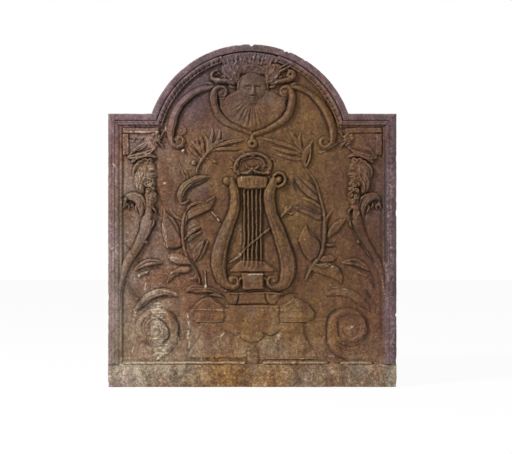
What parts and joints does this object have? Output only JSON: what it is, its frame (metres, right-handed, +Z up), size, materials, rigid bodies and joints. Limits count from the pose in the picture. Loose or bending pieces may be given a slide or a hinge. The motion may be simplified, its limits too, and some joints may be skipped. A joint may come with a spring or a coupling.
{
  "type": "fireback",
  "caption": "Free-standing cast-iron fireback: arched plate with leaf-cut border, base strip and applied relief of mask, shell, lyre, laurels, terms and volutes.",
  "frame": {"origin": "bottom centre of the whole part's box: on the floor, midway between the sides and between the back and the highest relief", "axes": "+X towards the viewer's right as the relief is seen, +Y from the relief to the flat back, +Z up"},
  "size_m": [0.665, 0.042, 0.79],
  "materials": {
    "back_plate": "old as-cast iron, brown-black, rusty and worn on the high points",
    "rim_left": "old as-cast iron, brown-black, rusty and worn on the high points",
    "rim_right": "old as-cast iron, brown-black, rusty and worn on the high points",
    "rim_shoulder_left": "old as-cast iron, brown-black, rusty and worn on the high points",
    "rim_shoulder_right": "old as-cast iron, brown-black, rusty and worn on the high points",
    "rim_arch": "old as-cast iron, brown-black, rusty and worn on the high points",
    "moulding_left": "old as-cast iron, brown-black, rusty and worn on the high points",
    "moulding_right": "old as-cast iron, brown-black, rusty and worn on the high points",
    "moulding_shoulder_left": "old as-cast iron, brown-black, rusty and worn on the high points",
    "moulding_shoulder_right": "old as-cast iron, brown-black, rusty and worn on the high points",
    "moulding_arch_left": "old as-cast iron, brown-black, rusty and worn on the high points",
    "moulding_arch_right": "old as-cast iron, brown-black, rusty and worn on the high points",
    "base_band": "old as-cast iron, brown-black, rusty and worn on the high points",
    "base_fillet": "old as-cast iron, brown-black, rusty and worn on the high points",
    "arch_scroll_left": "old as-cast iron, brown-black, rusty and worn on the high points",
    "arch_scroll_right": "old as-cast iron, brown-black, rusty and worn on the high points",
    "cartouche_scroll_left": "old as-cast iron, brown-black, rusty and worn on the high points",
    "cartouche_scroll_right": "old as-cast iron, brown-black, rusty and worn on the high points",
    "shell": "old as-cast iron, brown-black, rusty and worn on the high points",
    "pendant_ring": "old as-cast iron, brown-black, rusty and worn on the high points",
    "mask": "old as-cast iron, brown-black, rusty and worn on the high points",
    "plume_crown": "old as-cast iron, brown-black, rusty and worn on the high points",
    "hair_left": "old as-cast iron, brown-black, rusty and worn on the high points",
    "hair_right": "old as-cast iron, brown-black, rusty and worn on the high points",
    "lyre_wreath": "old as-cast iron, brown-black, rusty and worn on the high points",
    "lyre_yoke": "old as-cast iron, brown-black, rusty and worn on the high points",
    "lyre_arm_left": "old as-cast iron, brown-black, rusty and worn on the high points",
    "lyre_arm_right": "old as-cast iron, brown-black, rusty and worn on the high points",
    "lyre_strings": "old as-cast iron, brown-black, rusty and worn on the high points",
    "lyre_tailpiece": "old as-cast iron, brown-black, rusty and worn on the high points",
    "lyre_base": "old as-cast iron, brown-black, rusty and worn on the high points",
    "crossed_pipe": "old as-cast iron, brown-black, rusty and worn on the high points",
    "laurel_branch_left": "old as-cast iron, brown-black, rusty and worn on the high points",
    "laurel_branch_right": "old as-cast iron, brown-black, rusty and worn on the high points",
    "laurel_spray_left": "old as-cast iron, brown-black, rusty and worn on the high points",
    "laurel_spray_right": "old as-cast iron, brown-black, rusty and worn on the high points",
    "sickle_leaf": "old as-cast iron, brown-black, rusty and worn on the high points",
    "pedestal_neck": "old as-cast iron, brown-black, rusty and worn on the high points",
    "pedestal_shoulder_left": "old as-cast iron, brown-black, rusty and worn on the high points",
    "pedestal_shoulder_right": "old as-cast iron, brown-black, rusty and worn on the high points",
    "pedestal_tablet": "old as-cast iron, brown-black, rusty and worn on the high points",
    "pedestal_body": "old as-cast iron, brown-black, rusty and worn on the high points",
    "pedestal_drop": "old as-cast iron, brown-black, rusty and worn on the high points",
    "corner_volute_left": "old as-cast iron, brown-black, rusty and worn on the high points",
    "corner_volute_right": "old as-cast iron, brown-black, rusty and worn on the high points",
    "volute_crest_left": "old as-cast iron, brown-black, rusty and worn on the high points",
    "volute_crest_right": "old as-cast iron, brown-black, rusty and worn on the high points",
    "term_capital_left": "old as-cast iron, brown-black, rusty and worn on the high points",
    "term_capital_right": "old as-cast iron, brown-black, rusty and worn on the high points",
    "term_head_left": "old as-cast iron, brown-black, rusty and worn on the high points",
    "term_head_right": "old as-cast iron, brown-black, rusty and worn on the high points",
    "term_shoulder_left": "old as-cast iron, brown-black, rusty and worn on the high points",
    "term_shoulder_right": "old as-cast iron, brown-black, rusty and worn on the high points",
    "term_body_left": "old as-cast iron, brown-black, rusty and worn on the high points",
    "term_body_right": "old as-cast iron, brown-black, rusty and worn on the high points",
    "term_leaf_left": "old as-cast iron, brown-black, rusty and worn on the high points",
    "term_leaf_right": "old as-cast iron, brown-black, rusty and worn on the high points"
  },
  "bodies": {
    "root": {"back_plate": "back_plate", "rim_left": "rim_left", "rim_right": "rim_right", "rim_shoulder_left": "rim_shoulder_left", "rim_shoulder_right": "rim_shoulder_right", "rim_arch": "rim_arch", "moulding_left": "moulding_left", "moulding_right": "moulding_right", "moulding_shoulder_left": "moulding_shoulder_left", "moulding_shoulder_right": "moulding_shoulder_right", "moulding_arch_left": "moulding_arch_left", "moulding_arch_right": "moulding_arch_right", "base_band": "base_band", "base_fillet": "base_fillet", "arch_scroll_left": "arch_scroll_left", "arch_scroll_right": "arch_scroll_right", "cartouche_scroll_left": "cartouche_scroll_left", "cartouche_scroll_right": "cartouche_scroll_right", "shell": "shell", "pendant_ring": "pendant_ring", "mask": "mask", "plume_crown": "plume_crown", "hair_left": "hair_left", "hair_right": "hair_right", "lyre_wreath": "lyre_wreath", "lyre_yoke": "lyre_yoke", "lyre_arm_left": "lyre_arm_left", "lyre_arm_right": "lyre_arm_right", "lyre_strings": "lyre_strings", "lyre_tailpiece": "lyre_tailpiece", "lyre_base": "lyre_base", "crossed_pipe": "crossed_pipe", "laurel_branch_left": "laurel_branch_left", "laurel_branch_right": "laurel_branch_right", "laurel_spray_left": "laurel_spray_left", "laurel_spray_right": "laurel_spray_right", "sickle_leaf": "sickle_leaf", "pedestal_neck": "pedestal_neck", "pedestal_shoulder_left": "pedestal_shoulder_left", "pedestal_shoulder_right": "pedestal_shoulder_right", "pedestal_tablet": "pedestal_tablet", "pedestal_body": "pedestal_body", "pedestal_drop": "pedestal_drop", "corner_volute_left": "corner_volute_left", "corner_volute_right": "corner_volute_right", "volute_crest_left": "volute_crest_left", "volute_crest_right": "volute_crest_right", "term_capital_left": "term_capital_left", "term_capital_right": "term_capital_right", "term_head_left": "term_head_left", "term_head_right": "term_head_right", "term_shoulder_left": "term_shoulder_left", "term_shoulder_right": "term_shoulder_right", "term_body_left": "term_body_left", "term_body_right": "term_body_right", "term_leaf_left": "term_leaf_left", "term_leaf_right": "term_leaf_right"}
  },
  "joints": []
}
